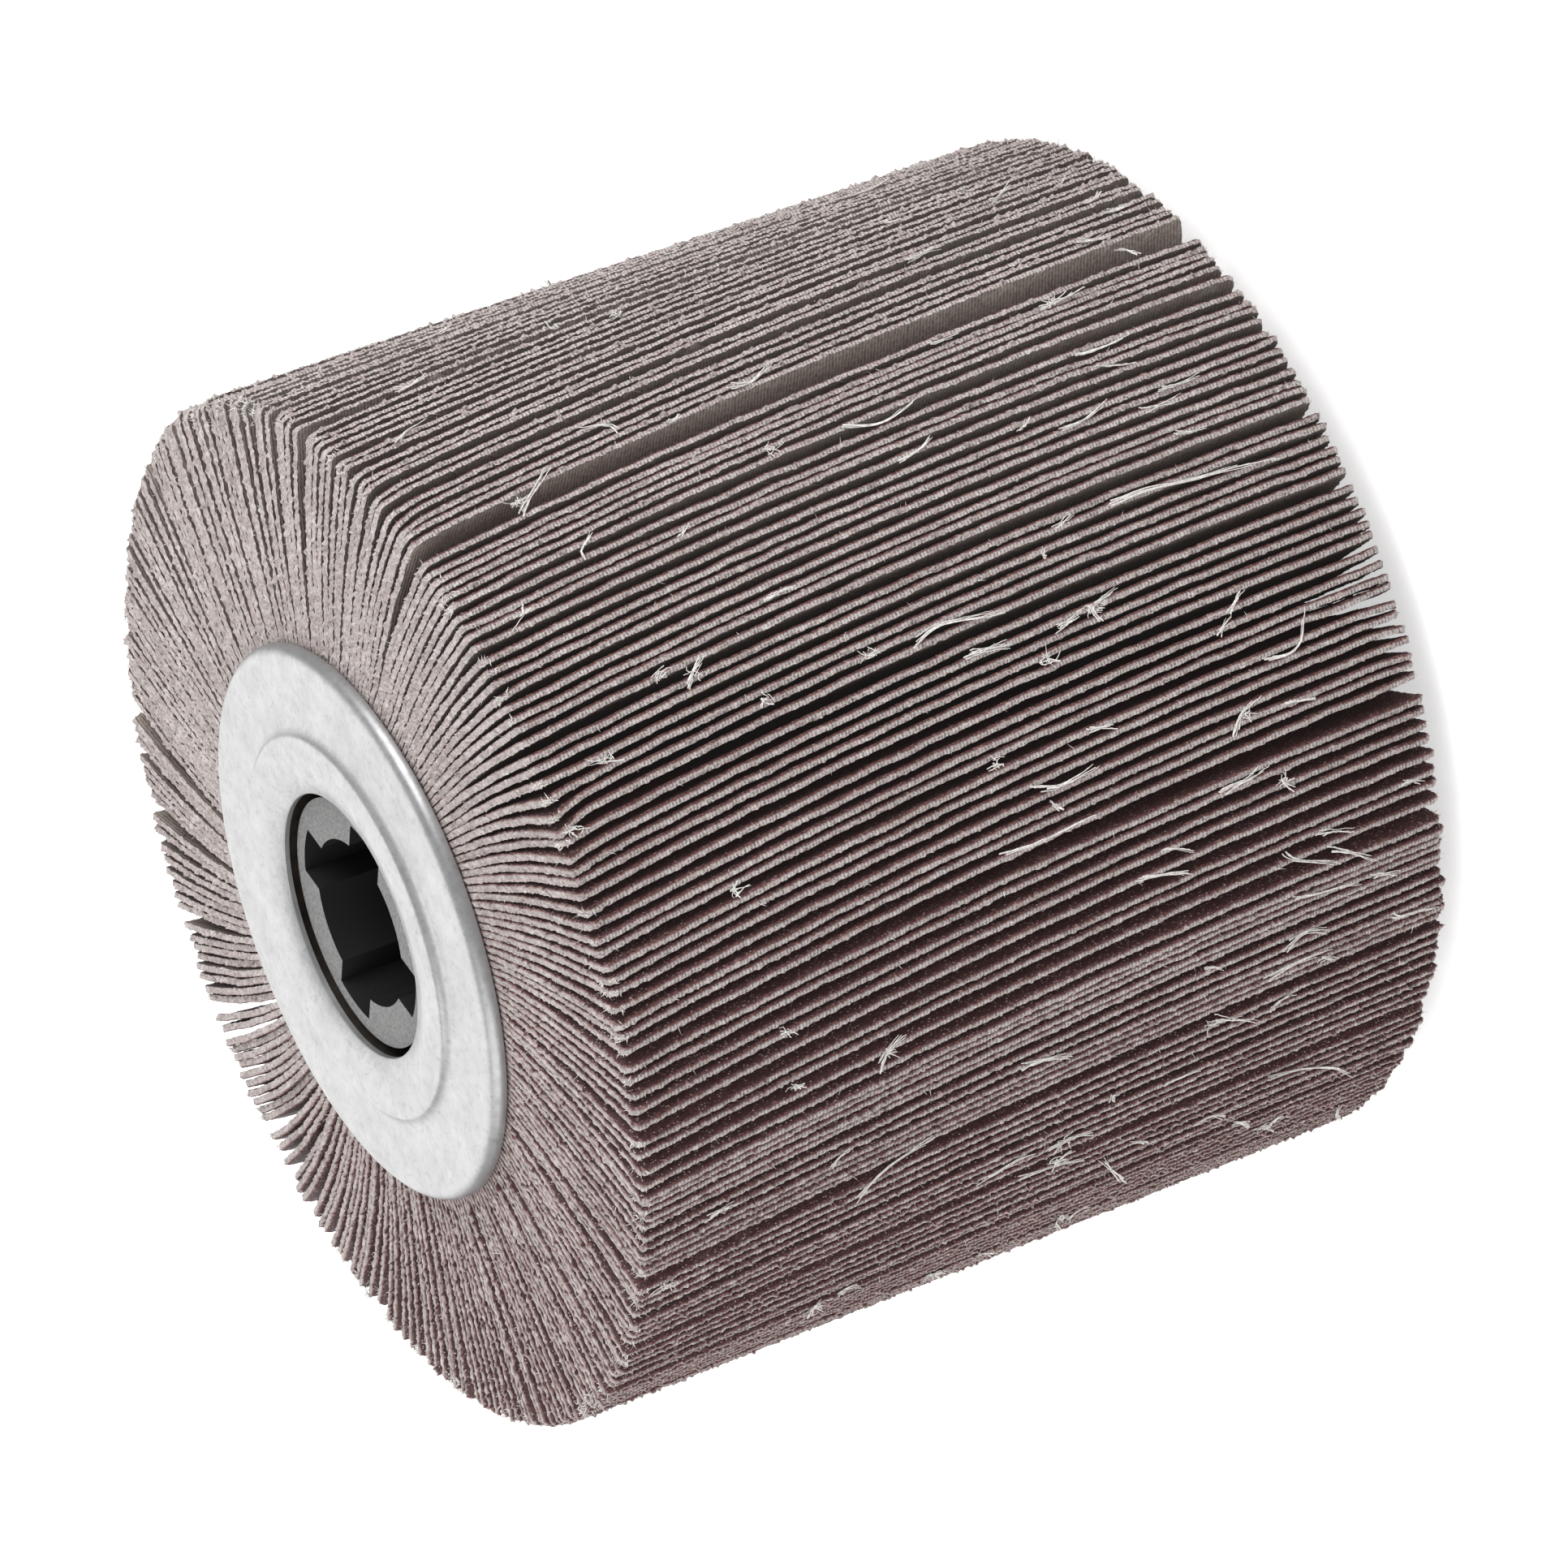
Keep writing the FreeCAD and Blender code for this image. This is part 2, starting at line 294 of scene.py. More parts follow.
def bump(tree, shader, height, depth, strength=1.0):
    node = add_node(tree, "ShaderNodeBump", {"Height": height, "Distance": depth, "Strength": strength})
    tree.links.new(node.outputs["Normal"], shader.inputs["Normal"])


def ribs(tree):
    """Wave of the threads that end at a cut edge, with uneven spacing."""
    height = add_node(tree, "ShaderNodeSeparateXYZ", {"Vector": place(tree)}).outputs["Z"]
    wander = math_node(tree, "MULTIPLY", noise(tree, 1.6 * MM, detail=2.0), 5.0)
    turns = math_node(tree, "MULTIPLY", height, 2 * math.pi / thread_pitch)
    wave = math_node(tree, "SINE", math_node(tree, "ADD", turns, wander))
    return add_node(tree, "ShaderNodeMath", {0: wave, 1: 0.5, 2: 0.5}, operation="MULTIPLY_ADD").outputs[0]


def strand_noise(tree, across):
    """Wavy strands that run along the edge of a flap, different on each flap."""
    along = math_node(tree, "MULTIPLY", axis_distance(tree), 1 / strand_length)
    sideways = math_node(tree, "MULTIPLY", across, strands_across / 2)
    vector = {"X": sideways, "Y": along, "Z": attribute(tree, "flap")}
    strands_at = add_node(tree, "ShaderNodeCombineXYZ", vector).outputs[0]
    return noise(tree, 1.0, detail=2.0, vector=strands_at, distortion=0.7)


def cut_edge_material():
    """Frayed cut edge of the cloth: pale thread ends, with the red coat showing along one side."""
    material, tree, shader = new_material("cut_edge", roughness=0.95, specular=0.15)
    across = attribute(tree, "across")
    on_side = ramp(tree, levelness(tree), [(0.25, (0.0,)), (0.5, (1.0,))])
    fluff = noise(tree, 0.30 * MM, detail=2.0)
    tip_ends = weighted(tree, ribs(tree), 0.20, fluff, 0.80)
    side_ends = weighted(tree, strand_noise(tree, across), 0.62, fluff, 0.42)
    ends = mix(tree, on_side, tip_ends, side_ends)
    threads = ramp(tree, ends, [(0.32, (0.20, 0.17, 0.165)), (0.44, (0.42, 0.37, 0.355)),
                                (0.56, (0.58, 0.525, 0.51)), (0.70, (0.76, 0.715, 0.695))])
    tint = ramp(tree, noise(tree, 1.1 * MM, detail=2.0), [(0.50, (0.0,)), (0.70, (0.35,))])
    reddened = mix(tree, tint, threads, (0.42, 0.29, 0.28))
    patches = noise(tree, 9 * MM, detail=2.0)
    shade = ramp(tree, patches, [(0.35, (0.88, 0.87, 0.87)), (0.65, (1.0, 1.0, 1.0))])
    ragged = math_node(tree, "MULTIPLY", math_node(tree, "SUBTRACT", fluff, 0.5), 1.3)
    coated = math_node(tree, "ADD", math_node(tree, "SUBTRACT", across, 1.0), ragged)
    tip_rim = ramp(tree, fluff, [(0.38, (0.055, 0.020, 0.020)), (0.66, (0.22, 0.11, 0.105))])
    side_rim = ramp(tree, fluff, [(0.35, (0.15, 0.075, 0.071)), (0.65, (0.44, 0.30, 0.285))])
    rim = mix(tree, on_side, tip_rim, side_rim)
    with_rim = mix(tree, ramp(tree, coated, [(0.05, (0.0,)), (0.60, (1.0,))]), reddened, rim)
    tree.links.new(mix(tree, 1.0, with_rim, shade, "MULTIPLY"), shader.inputs["Base Color"])
    bump(tree, shader, ends, 0.35 * MM)
    return material


def painted_glow(shader, colour):
    """Gives a surface a painted glow: a faint emission that stands in for the light that scatters out of
    the gaps between flaps.
    """
    shader.inputs["Emission Color"].default_value = (*colour, 1)
    shader.inputs["Emission Strength"].default_value = painted_glow_strength


def painted_gap_shade(tree, colour, dark):
    """Colour with painted shade: it turns dark where the gap between two flaps is narrow, and with depth.
    """
    inputs = {"Value": axis_distance(tree), "From Min": wheel_radius - dark_depth,
              "From Max": wheel_radius - light_depth, "To Min": light_at_depth, "To Max": 1.0}
    depth = add_node(tree, "ShaderNodeMapRange", inputs)
    lit = math_node(tree, "MULTIPLY", attribute(tree, "openness"), depth.outputs["Result"])
    return mix(tree, lit, dark, colour)


def cloth_back_material():
    """Back of the cloth: fine ribs that run outwards, with fluff, painted shade in the gaps and a faint
    painted glow.
    """
    material, tree, shader = new_material("cloth_back", roughness=0.95, specular=0.15)
    fluff = noise(tree, 0.5 * MM, detail=4.0)
    weave = math_node(tree, "ADD", math_node(tree, "MULTIPLY", ribs(tree), 0.30), fluff)
    colour = ramp(tree, weave, [(0.30, (0.17, 0.14, 0.122)), (0.55, (0.33, 0.28, 0.248)),
                                (0.85, (0.50, 0.445, 0.40))])
    # Painted glow: a faint emission stands in for light that scatters out of the gaps.
    painted_glow(shader, (1.0, 0.92, 0.88))
    # Painted shade: the colour darkens in narrow gaps between flaps and with depth below the tips.
    tree.links.new(painted_gap_shade(tree, colour, (0.135, 0.112, 0.102)), shader.inputs["Base Color"])
    bump(tree, shader, weave, 0.2 * MM)
    return material


def grain_material():
    """Grain coat: dark red-brown grit with glints painted into its colour as bright specks."""
    material, tree, shader = new_material("grain_coat", roughness=0.5, specular=0.5)
    grit = noise(tree, 0.22 * MM, detail=2.0)
    base = ramp(tree, grit, [(0.32, (0.030, 0.010, 0.011)), (0.50, (0.105, 0.038, 0.040)),
                             (0.66, (0.24, 0.105, 0.10))])
    # Painted glints: a share of small cells gets bright specks in the base colour, in place of light
    # catching the grit.
    cells = add_node(tree, "ShaderNodeTexVoronoi", {"Vector": place(tree), "Scale": 1 / (0.34 * MM)})
    bright = ramp(tree, cells.outputs["Color"], [(0.48, (0.0,)), (0.66, (1.0,))])
    painted_glint = ramp(tree, cells.outputs["Distance"], [(0.20, (1.0,)), (0.36, (0.0,))])
    painted_sparkle = math_node(tree, "MULTIPLY", painted_glint, bright)
    # Painted shade: the grit darkens in narrow gaps between flaps and with depth below the tips.
    with_gap_shade = painted_gap_shade(tree, base, (0.062, 0.025, 0.026))
    # Painted glow: a faint emission stands in for light that scatters out of the gaps.
    painted_glow(shader, (1.0, 0.72, 0.72))
    tree.links.new(mix(tree, painted_sparkle, with_gap_shade, (0.66, 0.52, 0.51)), shader.inputs["Base Color"])
    bump(tree, shader, grit, 0.15 * MM)
    return material


def thread_material():
    """Undyed thread."""
    material, tree, shader = new_material("thread", roughness=0.9, specular=0.2)
    tone = noise(tree, 0.5 * MM, detail=3.0)
    colour = ramp(tree, tone, [(0.35, (0.62, 0.59, 0.56)), (0.62, (0.88, 0.86, 0.83))])
    tree.links.new(colour, shader.inputs["Base Color"])
    return material


def flange_material():
    """Dull silver-white pressed sheet, with speckled painted shade where the sheet is bent to face
    sideways.
    """
    material, tree, shader = new_material("pressed_sheet", roughness=0.42, metallic=0.8, specular=0.5)
    white = (1.0, 1.0, 1.0)
    clouds = noise(tree, 3.5 * MM, detail=5.0)
    colour = ramp(tree, clouds, [(0.3, (0.60, 0.60, 0.60)), (0.7, (0.71, 0.71, 0.71))])
    scratches = noise(tree, 0.8 * MM, detail=4.0, roughness=0.7)
    scuffs = ramp(tree, scratches, [(0.52, white), (0.72, (0.80, 0.80, 0.80))])
    worn = mix(tree, 1.0, colour, scuffs, "MULTIPLY")
    # Painted shade: the sheet is darker where it turns to face sideways, with a fine speckle along its
    # edge.
    bend_speckle = noise(tree, 0.45 * MM, detail=2.0)
    level = weighted(tree, levelness(tree), 0.8, bend_speckle, 0.2)
    painted_bend_shade = ramp(tree, level, [(0.64, (0.70, 0.70, 0.71)), (0.80, (0.86, 0.86, 0.86)), (0.87, white)])
    tree.links.new(mix(tree, 1.0, worn, painted_bend_shade, "MULTIPLY"), shader.inputs["Base Color"])
    rough = ramp(tree, noise(tree, 1.5 * MM, detail=4.0), [(0.3, (0.34,)), (0.7, (0.5,))])
    tree.links.new(rough, shader.inputs["Roughness"])
    bump(tree, shader, noise(tree, 1.2 * MM, detail=3.0), 0.02 * MM)
    return material


def hub_material():
    """Black moulded plastic, dull grey on its level end faces and near-black where its faces turn sideways,
    as in the bore.
    """
    material, tree, shader = new_material("moulded_plastic", roughness=0.45, specular=0.4)
    end_face = ramp(tree, levelness(tree), [(0.6, (0.0,)), (0.9, (1.0,))])
    speckle = noise(tree, 0.35 * MM, detail=3.0)
    grey = ramp(tree, speckle, [(0.35, (0.165, 0.165, 0.165)), (0.65, (0.275, 0.275, 0.27))])
    tree.links.new(mix(tree, end_face, (0.020, 0.020, 0.021), grey), shader.inputs["Base Color"])
    rough = ramp(tree, end_face, [(0.0, (0.38,)), (1.0, (0.7,))])
    tree.links.new(rough, shader.inputs["Roughness"])
    bump(tree, shader, speckle, 0.03 * MM)
    return material


def resin_material():
    material, tree, shader = new_material("cast_resin", roughness=0.6, specular=0.4)
    colour = ramp(tree, noise(tree, 2 * MM), [(0.3, (0.03, 0.024, 0.02)), (0.7, (0.07, 0.055, 0.045))])
    tree.links.new(colour, shader.inputs["Base Color"])
    return material


# Meshes
def make_piece(name, points, faces, face_materials, materials, smooth_angle):
    """Object from points, triangles and the material number of each triangle, sharp past an angle."""
    mesh = bpy.data.meshes.new(name)
    faces = np.asarray(faces, np.int32)
    mesh.vertices.add(len(points))
    mesh.vertices.foreach_set("co", np.asarray(points, np.float32).ravel())
    mesh.loops.add(faces.size)
    mesh.loops.foreach_set("vertex_index", faces.ravel())
    mesh.polygons.add(len(faces))
    mesh.polygons.foreach_set("loop_start", np.arange(0, faces.size, 3, dtype=np.int32))
    mesh.polygons.foreach_set("material_index", np.asarray(face_materials, np.int32))
    mesh.update(calc_edges=True)
    for material in materials:
        mesh.materials.append(material)
    mesh.shade_smooth()
    mesh.set_sharp_from_angle(angle=math.radians(smooth_angle))
    piece = bpy.data.objects.new(name, mesh)
    bpy.context.scene.collection.objects.link(piece)
    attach(piece, "root")
    return piece


def quads(first, second, third, fourth):
    """Two triangles for each quad, its corners given as four arrays of point numbers."""
    return np.concatenate([np.stack([first, second, third], 1), np.stack([first, third, fourth], 1)])


def corner_angles(node, inner):
    """Angles of the flap corners of a packet at its bottom and top, sorted, in radians."""
    points = np.array([v.co for v in frame["nodes"][node].data.vertices])
    radii = np.hypot(points[:, 0], points[:, 1])
    wanted = radii.min() if inner else radii.max()
    near = np.abs(radii - wanted) < 0.2 * MM
    middle = points.mean(0)
    middle_angle = math.atan2(middle[1], middle[0])
    ends = []
    for height in (flap_bottom, flap_top):
        at_end = points[near & (np.abs(points[:, 2] - height) < 0.01 * MM)]
        turns = np.arctan2(at_end[:, 1], at_end[:, 0]) - middle_angle
        turns = (turns + math.pi) % (2 * math.pi) - math.pi
        corners = []
        for turn in np.sort(turns):
            if not corners or turn - corners[-1] > 1e-5:
                corners.append(turn)
        ends.append(middle_angle + np.array(corners))
    return ends


def packet_flaps(node):
    """For each flap of a packet: root angle, tip angle at the bottom, tip angle at the top."""
    root_bottom, _ = corner_angles(node, True)
    tip_bottom, tip_top = corner_angles(node, False)
    pairs = [corners.reshape(-1, 2).mean(1) for corners in (root_bottom, tip_bottom, tip_top)]
    return list(zip(*pairs))


root_radius = min(np.hypot(*v.co.xy) for v in frame["nodes"][packets[0]].data.vertices)


def by_angle(marks, angle):
    """Value between marks, each (degrees, value), at an angle in radians."""
    places, values = zip(*marks)
    return float(np.interp(math.degrees(angle), places, values, period=360))


def border_path(lower_corner, upper_corner):
    """Free edges of a flap as radii, heights and outward directions: bottom side, tip, top side."""
    turn = np.linspace(0, math.pi / 2, corner_steps + 2)[1:-1]
    run = (wheel_radius - flange_radius) / taper    # outwards, for each step down
    sides = []
    for height, corner, sign in ((flap_bottom, lower_corner, -1), (flap_top, upper_corner, 1)):
        straight = np.linspace(root_radius, wheel_radius - corner, side_steps + 1)
        level = height - sign * np.clip(straight - flange_radius, 0, None) / run
        sides.append(np.array([
            np.concatenate([straight, wheel_radius - corner + corner * np.sin(turn)]),
            np.concatenate([level, level[-1] - sign * corner * (1 - np.cos(turn))]),
            np.concatenate([0 * straight, np.sin(turn)]),
            np.concatenate([0 * straight + sign, sign * np.cos(turn)])]))
    along = np.linspace(sides[0][1, -1], sides[1][1, -1], tip_steps + 3)[1:-1]
    tip = np.array([0 * along + wheel_radius, along, 0 * along + 1, 0 * along])
    return np.concatenate([sides[0], tip, sides[1][:, ::-1]], axis=1)


def middle_grid():
    """Radii and heights of the plain middle of a flap, row by row outwards."""
    outwards, along = middle_steps
    radii = np.linspace(root_radius, wheel_radius - border_depth, outwards + 1)
    heights = np.linspace(flap_bottom + border_depth, flap_top - border_depth, along + 1)
    grid_r, grid_z = np.meshgrid(radii, heights, indexing="ij")
    return grid_r.ravel(), grid_z.ravel()


def flap_faces():
    """Triangles and material numbers of one flap. Points: grain, crest and cloth rows, then two grids."""
    rounding = border_depth    # any rounding gives the same order of points along the path
    path_r, path_z, _, _ = border_path(rounding, rounding)
    count = len(path_r)
    grain_row, crest_row, cloth_row = (np.arange(count) + count * row for row in range(3))
    outwards, along = middle_steps
    size = (outwards + 1) * (along + 1)
    number = np.arange(size).reshape(outwards + 1, along + 1)
    grain_grid, cloth_grid = 3 * count + number, 3 * count + size + number
    faces, kinds = [], []

    def add(triangles, kind):
        faces.append(np.asarray(triangles))
        kinds.append(np.full(len(triangles), kind))

    add(quads(cloth_row[:-1], crest_row[:-1], crest_row[1:], cloth_row[1:]), 2)
    add(quads(crest_row[:-1], grain_row[:-1], grain_row[1:], crest_row[1:]), 2)
    loop = [(i, 0) for i in range(outwards)] + [(outwards, j) for j in range(along)]
    loop += [(i, along) for i in range(outwards, -1, -1)]
    grid_r, grid_z = (values.reshape(outwards + 1, along + 1) for values in middle_grid())
    corners = np.array([(grid_r[i, j], grid_z[i, j]) for i, j in loop])
    middles = np.stack([path_r[:-1] + path_r[1:], path_z[:-1] + path_z[1:]], 1) / 2
    at = 0
    fan = []
    for step in range(count - 1):
        while at + 1 < len(loop):
            here, there = (np.hypot(*(corners[k] - middles[step])) for k in (at, at + 1))
            if there >= here:
                break
            fan.append((("grid", at), ("row", step), ("grid", at + 1)))
            at += 1
        fan.append((("grid", at), ("row", step), ("row", step + 1)))
    for row, grid, kind, flipped in ((cloth_row, cloth_grid, 0, False), (grain_row, grain_grid, 1, True)):
        look = {"row": row, "grid": [grid[i, j] for i, j in loop]}
        triangles = [[look[what][which] for what, which in corner] for corner in fan]
        add([t[::-1] if flipped else t for t in triangles], kind)
        low_left, high_left = grid[:-1, :-1].ravel(), grid[:-1, 1:].ravel()
        low_right, high_right = grid[1:, :-1].ravel(), grid[1:, 1:].ravel()
        if flipped:
            add(quads(low_left, high_left, high_right, low_right), kind)
        else:
            add(quads(low_left, low_right, high_right, high_left), kind)
    add(quads(grain_grid[0, :-1], cloth_grid[0, :-1], cloth_grid[0, 1:], grain_grid[0, 1:])[:, ::-1], 0)
    for end, j in ((0, 0), (count - 1, along)):
        ring = [cloth_grid[0, j], cloth_row[end], crest_row[end], grain_row[end], grain_grid[0, j]]
        triangles = [[ring[0], ring[k], ring[k + 1]] for k in range(1, 4)]
        add(triangles if j == 0 else [t[::-1] for t in triangles], 0)
    return np.concatenate(faces), np.concatenate(kinds)


class Flap:
    """Shape of one flap, with the gaps to its neighbours."""

    def __init__(self, root, tips, gap_before, gap_after, draw):
        self.root = root
        self.tips = tips                       # tip angles at the bottom and the top
        self.gaps = (gap_before, gap_after)    # each at the bottom and the top
        self.path = border_path(*np.clip(draw.normal(1, 0.25, 2), 0.5, 1.6) * corner_radius)
        self.proud = draw.normal(0, side_spread, 2)    # how far each side stands out past its neighbours
        self.curls = math.radians(curl_spread) * draw.normal(size=2)
        self.curls[1] += math.radians(by_angle(upper_curl_marks, root))

    def share(self, height):
        return (height - flap_bottom) / (flap_top - flap_bottom)

    def tip(self, height):
        """Angle of the tip at a height."""
        share = self.share(height)
        bow = math.radians(tip_bow) * 4 * share * (1 - share)
        return self.tips[0] + (self.tips[1] - self.tips[0]) * share + bow

    def at(self, radius, height, side):
        """Points from radius, height and distance off the flap's middle surface."""
        out = (radius - root_radius) / (wheel_radius - root_radius)
        bend = sum(curl * np.clip(1 - distance / curl_reach, 0, 1) ** 2
                   for curl, distance in zip(self.curls, (height - flap_bottom, flap_top - height)))
        lean = self.tip(height) - self.root
        angle = self.root + lean * out + bend * np.clip(out, 0, 1) ** 3
        slope = radius * lean / (wheel_radius - root_radius)
        points = to_world(radius, angle, height)
        reach = side * np.sqrt(1 + slope * slope)
        points[..., 0] -= np.sin(angle) * reach
        points[..., 1] += np.cos(angle) * reach
        return points

    def openness(self, height, after):
        """0 where the gap to a neighbour is narrow at the tips, 1 where it is wide. It masks the painted
        shade between flaps.
        """
        low, high = self.gaps[after]
        gap = (low + (high - low) * self.share(height)) * wheel_radius - flap_thickness
        return np.clip((gap - narrow_gap) / (wide_gap - narrow_gap), 0, 1)


def all_flaps():
    """The flaps of each packet."""
    angles = [(node, *flap) for node in packets for flap in packet_flaps(node)]
    angles.sort(key=lambda entry: entry[1] % (2 * math.pi))
    found = {node: [] for node in packets}
    for number, (node, root, low, high) in enumerate(angles):
        before, after = angles[number - 1], angles[(number + 1) % len(angles)]
        gap_before = [(mine - other) % (2 * math.pi) for mine, other in zip((low, high), before[2:])]
        gap_after = [(other - mine) % (2 * math.pi) for mine, other in zip((low, high), after[2:])]
        found[node].append(Flap(root, (low, high), gap_before, gap_after, rng(1000 + number)))
    return found


def wander(draw, count, every, size):
    """Slow random changes along a row of points, with a free choice every few points."""
    knots = draw.normal(0, size, count // every + 2)
    return np.interp(np.arange(count), np.arange(len(knots)) * every, knots)


def flap_points(flap, draw):
    """Points of one frayed flap, in the order that flap_faces expects.

    With each point come how open the gap is there, 0 to 2 from the cloth side to the grain side, and
    a number of the flap's own.
    """
    path_r, path_z, out_r, out_z = flap.path
    count = len(path_r)
    on_side = np.abs(out_z)
    past_flange = np.clip((path_r - flange_radius - 0.3 * MM) / (2 * MM), 0, 1)
    length = draw.normal(0, tip_spread) * out_r
    length = length + np.where(out_z > 0, flap.proud[1], flap.proud[0]) * on_side * past_flange
    is_end = draw.rand(count) < thread_end_share
    thread_ends = np.where(is_end, draw.uniform(*thread_end_length, count) * MM, 0)
    crest_out = draw.normal(0, 0.06 * MM, count) + thread_ends + length
    grain_out = draw.normal(-grain_set_back, 0.05 * MM, count) + length
    cloth_out = draw.normal(-cloth_set_back, 0.06 * MM, count) + length
    half = flap_thickness / 2
    sway = wander(draw, count, 9, 0.05 * MM)
    flare = on_side * past_flange * side_flare
    coat = grain_coat * (1 - 0.55 * on_side)
    crest_side = half - coat + sway + 1.4 * flare + draw.normal(0, 0.045 * MM, count)
    grain_side = half + sway + 0.4 * flare + draw.normal(0, 0.02 * MM, count)
    cloth_side = -half + sway - flare - np.abs(draw.normal(0, 0.06 * MM, count))
    at_root = np.clip((path_r - root_radius) / (4 * MM), 0, 1)
    rows = []
    for out, side in ((grain_out, grain_side), (crest_out, crest_side), (cloth_out, cloth_side)):
        out = out * at_root
        side = np.where(at_root < 1, np.clip(side, -half, half), side)
        rows.append(flap.at(path_r + out * out_r, path_z + out * out_z, side))
    grid_r, grid_z = middle_grid()
    rows.append(flap.at(grid_r, grid_z, half))
    rows.append(flap.at(grid_r, grid_z, -half))
    openness = [flap.openness(path_z, 1), np.ones(count), flap.openness(path_z, 0),
                flap.openness(grid_z, 1), flap.openness(grid_z, 0)]
    across = np.concatenate([np.full(count, 2.0), np.ones(count), np.zeros(count + 2 * len(grid_r))])
    flap_seed = np.full(len(across), draw.uniform(0, 500))
    return np.concatenate(rows), np.stack([np.concatenate(openness), across, flap_seed], 1)


def spikes(bases, directions, lengths, radii, draw):
    """Thin three-sided fibres, each closed at its base."""
    directions = directions / np.linalg.norm(directions, axis=1, keepdims=True)
    helper = draw.normal(size=directions.shape)
    across = np.cross(directions, helper)
    across /= np.linalg.norm(across, axis=1, keepdims=True)
    other = np.cross(directions, across)
    points = [bases + radii[:, None] * (across * math.cos(a) + other * math.sin(a))
              for a in (0, 2 * math.pi / 3, 4 * math.pi / 3)]
    points.append(bases + directions * lengths[:, None])
    number = np.arange(len(bases)) * 4
    order = ((0, 1, 3), (1, 2, 3), (2, 0, 3), (0, 2, 1))
    faces = np.concatenate([np.stack([number + a, number + b, number + c], 1) for a, b, c in order])
    return np.stack(points, 1).reshape(-1, 3), faces


def flap_fibres(flap, draw):
    """Fibres that stand off the free edges of a flap, with a tuft at some of its corners."""
    path_r, path_z, out_r, out_z = flap.path
    free = np.flatnonzero(path_r > flange_radius + 0.5 * MM)
    corner = np.minimum(np.abs(path_z - flap_bottom), np.abs(path_z - flap_top))
    corner = np.hypot(corner, wheel_radius - path_r)
    weight = 1 + 12 * np.exp(-(corner[free] / (2 * MM)) ** 2)
    where = draw.choice(free, fibres_per_flap, p=weight / weight.sum())
    at_corner = np.flatnonzero((corner < 1.9 * MM) & (path_z > wheel_height / 2))
    tuft_fibres = draw.choice(tuft_sizes, p=tuft_odds)
    where = np.concatenate([where, draw.choice(at_corner, tuft_fibres)])
    count = len(where)
    in_tuft = np.arange(count) >= fibres_per_flap
    wild = np.where(in_tuft, 1.1, 0.75)
    side = draw.uniform(-0.5, 0.3, count) * flap_thickness
    base = flap.at(path_r[where] - 0.1 * MM * out_r[where], path_z[where] - 0.1 * MM * out_z[where], side)
    ahead = flap.at(path_r[where] + MM * out_r[where], path_z[where] + MM * out_z[where], side)
    direction = (ahead - base) / MM + draw.normal(0, 1, (count, 3)) * wild[:, None]
    length = draw.gamma(4, 0.11, count) * MM
    radius = draw.uniform(0.03, 0.06, count) * np.where(in_tuft, 1.9, 1) * MM
    return spikes(base, direction, length, radius, draw)


def flap_packet(node, number, flaps, faces, kinds, materials):
    """One packet of frayed flaps in place of the plain solids."""
    points, layers, all_faces, all_kinds = [], [], [], []
    total = 0
    for place_in_packet, flap in enumerate(flaps):
        draw = rng(3000 + number * 10 + place_in_packet)
        flap_part = (*flap_points(flap, draw), faces, kinds)
        fibres, fibre_faces = flap_fibres(flap, draw)
        fibre_part = (fibres, np.zeros((len(fibres), 3)), fibre_faces, np.full(len(fibre_faces), 3))
        for some_points, some_layers, some_faces, some_kinds in (flap_part, fibre_part):
            points.append(some_points)
            layers.append(some_layers)
            all_faces.append(some_faces + total)
            all_kinds.append(some_kinds)
            total += len(some_points)
    piece = make_piece(f"flaps_{number:02d}", np.concatenate(points), np.concatenate(all_faces),
                       np.concatenate(all_kinds), materials, smooth_angle=35)
    for name, values in zip(("openness", "across", "flap"), np.concatenate(layers).astype(np.float32).T):
        layer = piece.data.attributes.new(name, "FLOAT", "POINT")
        layer.data.foreach_set("value", np.ascontiguousarray(values))
    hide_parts(node)


def arc(centre, radius, start, stop, steps):
    """Points of an arc in a section, as (radius, height), from one angle in degrees to another."""
    turns = np.radians(np.linspace(start, stop, steps + 1))
    return [(centre[0] + radius * math.cos(t), centre[1] + radius * math.sin(t)) for t in turns]


def turned_piece(name, section, steps, material):
    """Closed section turned about the wheel's axis."""
    section = np.array(section)
    turns = np.arange(steps) * 2 * math.pi / steps
    heights = np.broadcast_to(section[:, 1], (steps, len(section)))
    points = to_world(section[None, :, 0], turns[:, None], heights)
    number = np.arange(steps * len(section)).reshape(steps, -1)
    after = np.roll(number, -1, 0)
    corners = (number, after, np.roll(after, -1, 1), np.roll(number, -1, 1))
    faces = quads(*(corner.ravel() for corner in corners))
    return make_piece(name, points.reshape(-1, 3), faces, np.zeros(len(faces)), [material], smooth_angle=40)


